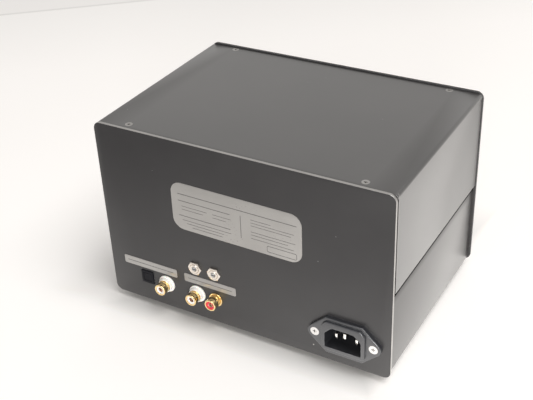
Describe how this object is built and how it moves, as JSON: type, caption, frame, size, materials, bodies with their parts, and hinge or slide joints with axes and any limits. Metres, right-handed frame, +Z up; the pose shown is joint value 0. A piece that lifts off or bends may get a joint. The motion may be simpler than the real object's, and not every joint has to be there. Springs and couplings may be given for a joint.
{
  "type": "loudness meter",
  "caption": "Half-rack metal case with two moving-coil dials, selector knob, power rocker and reset button in front; phono, optical and mains sockets and trim pots at the rear.",
  "frame": {"origin": "on the ground, under the middle of the box that holds the whole part", "axes": "+X to the right as seen from the front, +Y from the front to the rear, +Z up"},
  "size_m": [0.21, 0.1704, 0.1379],
  "materials": {
    "front_panel": "satin black, fine grained",
    "rear_panel": "satin black, fine grained",
    "bottom_tray": "satin black",
    "top_cover": "satin black",
    "crossbars": "milled",
    "case_screws": "zinc plated",
    "cover_screws": "black oxide",
    "feet": "matt",
    "rating_plate": "glossy silver foil",
    "label_strips": "glossy silver foil",
    "optical_input": "matt black",
    "optical_shutter": "matt black",
    "digital_jack": "bright gold plate",
    "left_input_jack": "bright gold plate",
    "right_input_jack": "bright gold plate",
    "white_jack_insulators": "white",
    "red_jack_insulator": "red",
    "jack_contacts": "gold plate",
    "left_trim_pot": "nickel plated",
    "left_trim_spindle": "nickel plated brass",
    "right_trim_pot": "nickel plated",
    "right_trim_spindle": "nickel plated brass",
    "fixing_nuts": "bright nickel",
    "mains_inlet": "dark grey thermoplastic",
    "inlet_blades": "nickel plate",
    "inlet_screws": "bright zinc",
    "selector_switch": "zinc plated",
    "selector_shaft": "turned",
    "selector_knob": "satin black",
    "power_switch": "black",
    "power_rocker": "black",
    "reset_switch": "zinc plated",
    "reset_button": "red",
    "main_board": "green solder mask",
    "board_parts": "moulded",
    "stand_offs": "nickel plated brass",
    "input_board": "green solder mask",
    "transformer": "yellow tape over enamelled copper",
    "transformer_fixing": "zinc plated",
    "mains_fuse": "clear",
    "ribbon_cable": "grey ribbon",
    "internal_leads": "PVC insulation",
    "left_meter_case": "moulded black",
    "left_meter_bezel": "satin black",
    "left_meter_lens": "clear acrylic",
    "left_dial_plate": "cream card print",
    "left_moving_coil": "enamelled copper",
    "left_pointer": "red lacquer",
    "left_zero_screw": "black",
    "left_zero_lever": "brass strip",
    "right_meter_case": "moulded black",
    "right_meter_bezel": "satin black",
    "right_meter_lens": "clear acrylic",
    "right_dial_plate": "cream card print",
    "right_moving_coil": "enamelled copper",
    "right_pointer": "red lacquer",
    "right_zero_screw": "black",
    "right_zero_lever": "brass strip",
    "meter_magnets": "sintered magnet",
    "movement_frames": "nickel plated"
  },
  "bodies": {
    "case": {"front_panel": "front_panel", "rear_panel": "rear_panel", "bottom_tray": "bottom_tray", "top_cover": "top_cover", "crossbars": "crossbars", "case_screws": "case_screws", "cover_screws": "cover_screws", "feet": "feet", "rating_plate": "rating_plate", "label_strips": "label_strips", "optical_input": "optical_input", "digital_jack": "digital_jack", "left_input_jack": "left_input_jack", "right_input_jack": "right_input_jack", "white_jack_insulators": "white_jack_insulators", "red_jack_insulator": "red_jack_insulator", "jack_contacts": "jack_contacts", "left_trim_pot": "left_trim_pot", "right_trim_pot": "right_trim_pot", "fixing_nuts": "fixing_nuts", "mains_inlet": "mains_inlet", "inlet_blades": "inlet_blades", "inlet_screws": "inlet_screws", "selector_switch": "selector_switch", "power_switch": "power_switch", "reset_switch": "reset_switch", "main_board": "main_board", "board_parts": "board_parts", "stand_offs": "stand_offs", "input_board": "input_board", "transformer": "transformer", "transformer_fixing": "transformer_fixing", "mains_fuse": "mains_fuse", "ribbon_cable": "ribbon_cable", "internal_leads": "internal_leads", "left_meter_case": "left_meter_case", "left_meter_bezel": "left_meter_bezel", "left_meter_lens": "left_meter_lens", "left_dial_plate": "left_dial_plate", "right_meter_case": "right_meter_case", "right_meter_bezel": "right_meter_bezel", "right_meter_lens": "right_meter_lens", "right_dial_plate": "right_dial_plate", "meter_magnets": "meter_magnets", "movement_frames": "movement_frames"},
    "left_movement": {"left_moving_coil": "left_moving_coil", "left_pointer": "left_pointer"},
    "right_movement": {"right_moving_coil": "right_moving_coil", "right_pointer": "right_pointer"},
    "left_zero_screw_body": {"left_zero_screw": "left_zero_screw"},
    "right_zero_screw_body": {"right_zero_screw": "right_zero_screw"},
    "left_zero_lever_body": {"left_zero_lever": "left_zero_lever"},
    "right_zero_lever_body": {"right_zero_lever": "right_zero_lever"},
    "selector": {"selector_shaft": "selector_shaft", "selector_knob": "selector_knob"},
    "rocker": {"power_rocker": "power_rocker"},
    "reset": {"reset_button": "reset_button"},
    "left_trim": {"left_trim_spindle": "left_trim_spindle"},
    "right_trim": {"right_trim_spindle": "right_trim_spindle"},
    "shutter": {"optical_shutter": "optical_shutter"}
  },
  "joints": [
    {"name": "left_pointer_swing", "type": "hinge", "parent": "case", "child": "left_movement", "pos_m": [-0.0505, -0.07335, 0.0719], "axis": [0, 1, 0], "range_deg": [0, 92], "stiffness_Nm_per_rad": 0.0002},
    {"name": "left_zero_screw_turn", "type": "hinge", "parent": "case", "child": "left_zero_screw_body", "pos_m": [-0.0505, -0.07915, 0.0619], "axis": [0, 1, 0], "range_deg": [-45, 45]},
    {"name": "left_zero_lever_turn", "type": "hinge", "parent": "case", "child": "left_zero_lever_body", "pos_m": [-0.0505, -0.07575, 0.0719], "axis": [0, 1, 0], "range_deg": [-5, 5]},
    {"name": "right_pointer_swing", "type": "hinge", "parent": "case", "child": "right_movement", "pos_m": [0.0505, -0.07335, 0.0719], "axis": [0, 1, 0], "range_deg": [0, 92], "stiffness_Nm_per_rad": 0.0002},
    {"name": "right_zero_screw_turn", "type": "hinge", "parent": "case", "child": "right_zero_screw_body", "pos_m": [0.0505, -0.07915, 0.0619], "axis": [0, 1, 0], "range_deg": [-45, 45]},
    {"name": "right_zero_lever_turn", "type": "hinge", "parent": "case", "child": "right_zero_lever_body", "pos_m": [0.0505, -0.07575, 0.0719], "axis": [0, 1, 0], "range_deg": [-5, 5]},
    {"name": "selector_turn", "type": "hinge", "parent": "case", "child": "selector", "pos_m": [0, -0.07715, 0.0289], "axis": [0, 1, 0], "range_deg": [-60, 60]},
    {"name": "rocker_tilt", "type": "hinge", "parent": "case", "child": "rocker", "pos_m": [-0.08, -0.06815, 0.0289], "axis": [1, 0, 0], "range_deg": [0, 16]},
    {"name": "reset_press", "type": "slide", "parent": "case", "child": "reset", "axis": [0, 1, 0], "range_m": [0, 0.0018], "stiffness_N_per_m": 300},
    {"name": "left_trim_turn", "type": "hinge", "parent": "case", "child": "left_trim", "pos_m": [0.0348, 0.07585, 0.0452], "axis": [0, 1, 0], "range_deg": [-135, 135]},
    {"name": "right_trim_turn", "type": "hinge", "parent": "case", "child": "right_trim", "pos_m": [0.0201, 0.07585, 0.0452], "axis": [0, 1, 0], "range_deg": [-135, 135]},
    {"name": "shutter_swing", "type": "hinge", "parent": "case", "child": "shutter", "pos_m": [0.0756, 0.07625, 0.02725], "axis": [-1, 0, 0], "range_deg": [0, 80], "stiffness_Nm_per_rad": 0.0001}
  ],
  "couplings": [
    {"joint": "left_zero_lever_turn", "follows": "left_zero_screw_turn", "ratio": 0.1},
    {"joint": "right_zero_lever_turn", "follows": "right_zero_screw_turn", "ratio": 0.1}
  ]
}
